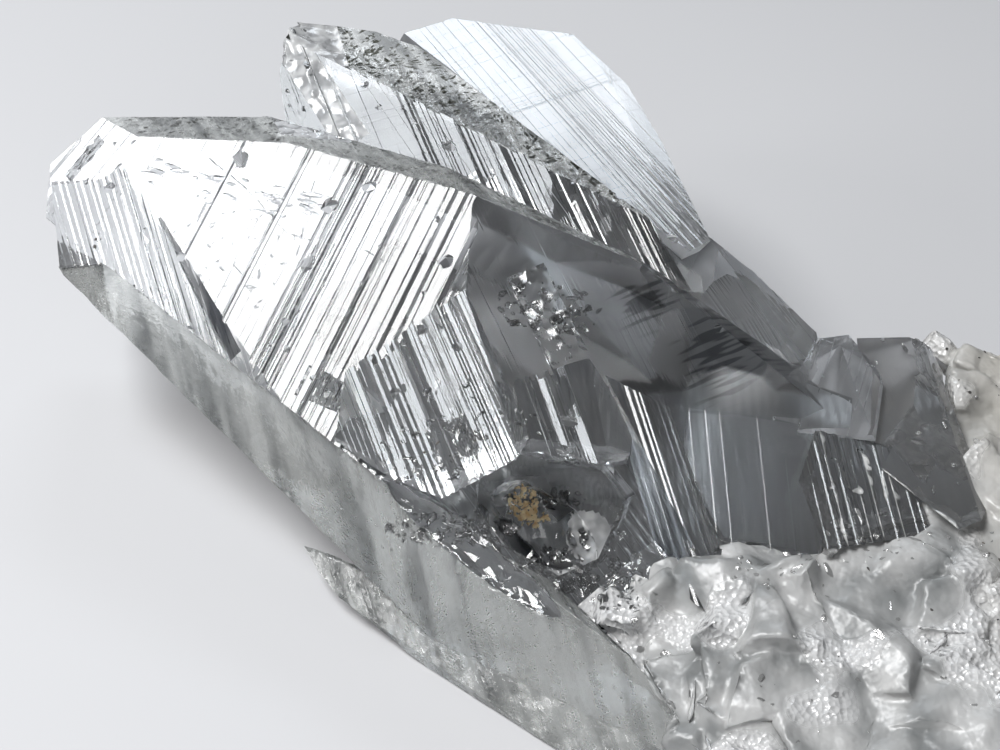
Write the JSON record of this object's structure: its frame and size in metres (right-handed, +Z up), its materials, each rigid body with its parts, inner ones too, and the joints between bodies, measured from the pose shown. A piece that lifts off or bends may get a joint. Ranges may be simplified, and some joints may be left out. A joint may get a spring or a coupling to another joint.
{
  "type": "quartz crystal cluster",
  "caption": "Cluster of clear, striated quartz crystals lying side by side on a rough milky quartz root, sawn flat underneath so that it rests on a table.",
  "frame": {"origin": "middle of the bounding box at the sawn foot", "axes": "+Z up, the long crystals lie towards -X and +Y, the milky root is at +X and -Y"},
  "size_m": [0.0998, 0.102, 0.0324],
  "materials": {
    "clear_quartz": "clear and glossy on the striated faces, frosted on the blade, milky and broken at the root"
  },
  "bodies": {
    "root": {"quartz_cluster": "clear_quartz"}
  },
  "joints": []
}
